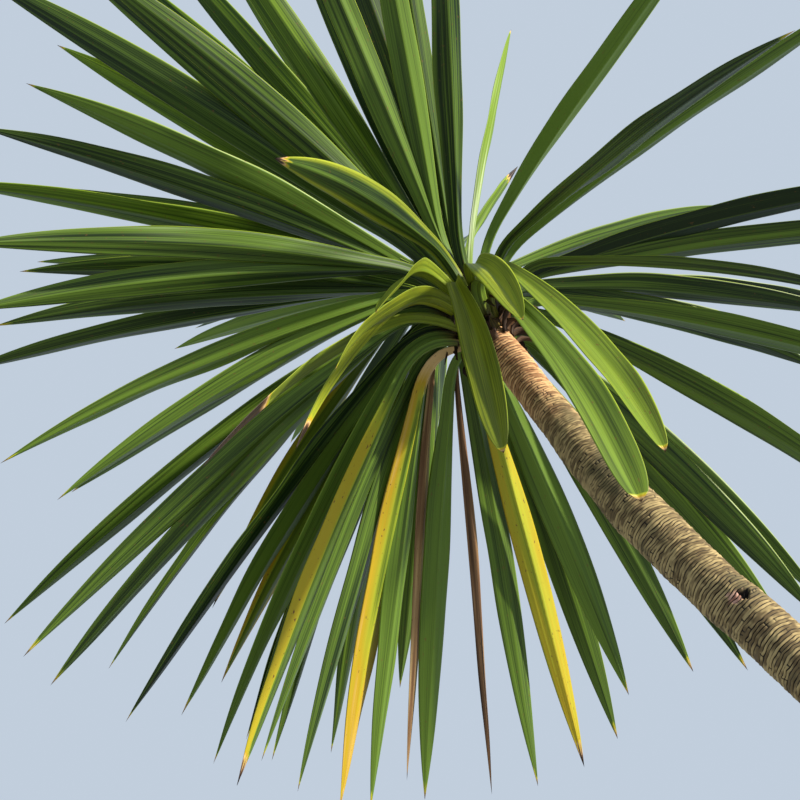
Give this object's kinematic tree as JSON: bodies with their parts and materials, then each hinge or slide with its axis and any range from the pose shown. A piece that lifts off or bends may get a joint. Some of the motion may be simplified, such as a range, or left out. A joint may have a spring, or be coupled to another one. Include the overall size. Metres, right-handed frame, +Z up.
{
  "type": "cabbage tree",
  "caption": "Young rooted cabbage tree: a slim leaning trunk with a root flare, and one round head of long strap leaves that arch and droop.",
  "frame": {"origin": "middle of the flat cut under the trunk at ground level", "axes": "+Z up; the trunk leans mostly toward -X and a little toward +Y; +X to the right as seen in the picture, +Y away from the viewer"},
  "size_m": [1.9079, 1.3992, 3.259],
  "materials": {
    "bark": "tan-brown bark with fine transverse rings, dull and papery",
    "leaf": "tough green leaf with yellow-green edges and fine lengthwise ribs, half glossy",
    "leaf_young": "light green leaf, half glossy",
    "leaf_yellow": "dying yellow leaf with brown specks, dull",
    "leaf_dry": "dead brown leaf, dry and dull"
  },
  "bodies": {
    "root": {"trunk": "bark", "heart": "leaf_young", "leaf_00": "leaf", "leaf_01": "leaf", "leaf_02": "leaf", "leaf_03": "leaf", "leaf_04": "leaf_yellow", "leaf_05": "leaf", "leaf_06": "leaf", "leaf_07": "leaf_yellow", "leaf_08": "leaf", "leaf_09": "leaf", "leaf_10": "leaf", "leaf_12": "leaf", "leaf_13": "leaf", "leaf_14": "leaf", "leaf_15": "leaf", "leaf_16": "leaf", "leaf_17": "leaf", "leaf_18": "leaf", "leaf_19": "leaf", "leaf_20": "leaf", "leaf_21": "leaf", "leaf_22": "leaf", "leaf_23": "leaf", "leaf_24": "leaf", "leaf_25": "leaf_dry", "leaf_26": "leaf", "leaf_27": "leaf", "leaf_28": "leaf", "leaf_30": "leaf", "leaf_31": "leaf", "leaf_33": "leaf_dry", "leaf_34": "leaf", "leaf_35": "leaf", "leaf_36": "leaf", "leaf_37": "leaf", "leaf_38": "leaf", "leaf_39": "leaf", "leaf_41": "leaf", "leaf_42": "leaf", "leaf_43": "leaf", "leaf_44": "leaf", "leaf_46": "leaf", "leaf_47": "leaf", "leaf_48": "leaf", "leaf_49": "leaf", "leaf_51": "leaf", "leaf_52": "leaf", "leaf_54": "leaf", "leaf_55": "leaf", "leaf_56": "leaf", "leaf_57": "leaf", "leaf_59": "leaf", "leaf_60": "leaf", "leaf_62": "leaf", "leaf_63": "leaf", "leaf_64": "leaf"}
  },
  "joints": []
}
